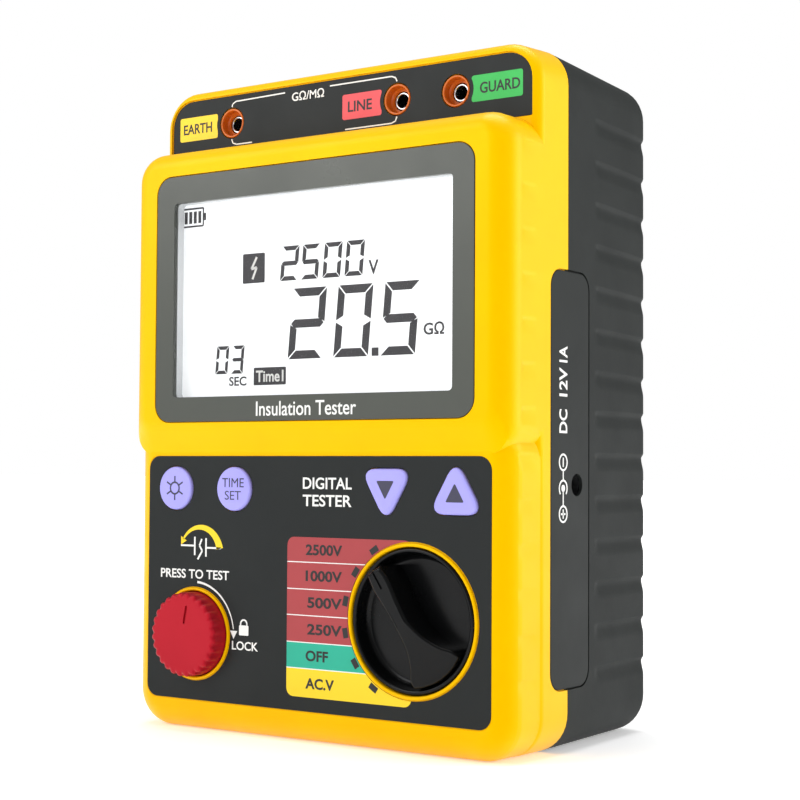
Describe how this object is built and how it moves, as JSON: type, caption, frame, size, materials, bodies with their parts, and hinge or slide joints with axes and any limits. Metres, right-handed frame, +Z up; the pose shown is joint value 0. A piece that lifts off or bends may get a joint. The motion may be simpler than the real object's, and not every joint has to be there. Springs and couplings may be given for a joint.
{
  "type": "insulation resistance tester",
  "caption": "Split-shell insulation resistance tester with a framed display, rotary function switch, push-and-turn test button, keypad, recessed test terminals and a battery bay.",
  "frame": {"origin": "centre of the overall box in X and Y, at the flat base it stands on", "axes": "+X to the right when facing the front, +Y from the front to the back, +Z up"},
  "size_m": [0.14, 0.0886, 0.2],
  "materials": {
    "yellow_abs": "moulded satin yellow ABS",
    "charcoal_abs": "fine textured charcoal ABS",
    "panel_film": "printed matt polycarbonate overlay",
    "window_lens": "clear hard-coated acrylic",
    "key_silicone": "lilac silicone rubber",
    "red_abs": "moulded red ABS",
    "black_abs": "moulded black ABS",
    "orange_nylon": "moulded orange nylon",
    "nickel_plate": "nickel-plated metal",
    "brass_contact": "phosphor bronze spring",
    "white_abs": "white ABS",
    "lcd_glass": "glass cell with polariser",
    "circuit_board": "green solder-masked glass epoxy",
    "cell_sleeve": "shrink-sleeved steel can",
    "winding_copper": "enamelled copper and ferrite",
    "conductive_rubber": "layered carbon rubber"
  },
  "bodies": {
    "root": {"front_shell": "yellow_abs", "rear_shell": "charcoal_abs", "control_overlay": "panel_film", "terminal_overlay": "panel_film", "display_window": "window_lens", "lcd_frame": "white_abs", "lcd_glass": "lcd_glass", "backlight_panel": "white_abs", "zebra_strip": "conductive_rubber", "front_board": "circuit_board", "keypad_mat": "key_silicone", "main_board": "circuit_board", "board_header": "black_abs", "hv_transformer": "winding_copper", "hv_capacitor": "cell_sleeve", "buzzer": "black_abs", "detent_leaf": "nickel_plate", "test_microswitch": "black_abs", "switch_bracket": "nickel_plate", "test_spring": "nickel_plate", "terminal_board": "circuit_board", "dc_side_plate": "charcoal_abs", "dc_inlet": "black_abs", "dc_inlet_pin": "nickel_plate", "battery_tray": "black_abs", "contact_left": "nickel_plate", "contact_right": "nickel_plate", "contact_middle": "nickel_plate", "jack_shroud_earth": "orange_nylon", "jack_socket_earth": "nickel_plate", "jack_shroud_line": "orange_nylon", "jack_socket_line": "nickel_plate", "jack_shroud_guard": "orange_nylon", "jack_socket_guard": "nickel_plate", "cell_left_1": "cell_sleeve", "cell_left_2": "cell_sleeve", "cell_left_3": "cell_sleeve", "cell_left_4": "cell_sleeve", "case_screw_lower_left": "nickel_plate", "case_screw_upper_left": "nickel_plate", "cell_right_1": "cell_sleeve", "cell_right_2": "cell_sleeve", "cell_right_3": "cell_sleeve", "cell_right_4": "cell_sleeve", "case_screw_lower_right": "nickel_plate", "case_screw_upper_right": "nickel_plate"},
    "function_dial": {"function_knob": "black_abs", "switch_rotor": "white_abs", "wiper_contact": "brass_contact"},
    "test_plunger": {"test_carrier": "white_abs"},
    "test_button": {"test_knob": "red_abs", "test_shaft": "nickel_plate"},
    "backlight_button": {"backlight_key": "key_silicone"},
    "time_button": {"time_key": "key_silicone"},
    "down_button": {"down_key": "key_silicone"},
    "up_button": {"up_key": "key_silicone"},
    "rear_cover": {"battery_cover": "charcoal_abs", "cover_screw_left": "nickel_plate", "cover_screw_right": "nickel_plate"}
  },
  "joints": [
    {"name": "function_dial_turn", "type": "hinge", "parent": "root", "child": "function_dial", "pos_m": [0.0365, 0, 0.0373], "axis": [0, -1, 0], "range_deg": [0, 112.5]},
    {"name": "test_button_press", "type": "slide", "parent": "root", "child": "test_plunger", "axis": [0, 1, 0], "range_m": [0, 0.003], "stiffness_N_per_m": 500, "springref_m": -0.003, "deforming": ["test_spring"]},
    {"name": "test_button_turn", "type": "hinge", "parent": "test_plunger", "child": "test_button", "pos_m": [-0.0433, 0, 0.0293], "axis": [0, 1, 0], "range_deg": [0, 90]},
    {"name": "backlight_key_press", "type": "slide", "parent": "root", "child": "backlight_button", "axis": [0, 1, 0], "range_m": [0, 0.001], "stiffness_N_per_m": 250, "springref_m": -0.001},
    {"name": "time_key_press", "type": "slide", "parent": "root", "child": "time_button", "axis": [0, 1, 0], "range_m": [0, 0.001], "stiffness_N_per_m": 250, "springref_m": -0.001},
    {"name": "down_key_press", "type": "slide", "parent": "root", "child": "down_button", "axis": [0, 1, 0], "range_m": [0, 0.001], "stiffness_N_per_m": 250, "springref_m": -0.001},
    {"name": "up_key_press", "type": "slide", "parent": "root", "child": "up_button", "axis": [0, 1, 0], "range_m": [0, 0.001], "stiffness_N_per_m": 250, "springref_m": -0.001},
    {"name": "battery_cover_lift", "type": "slide", "parent": "root", "child": "rear_cover", "axis": [0, 1, 0], "range_m": [0, 0.03]}
  ]
}
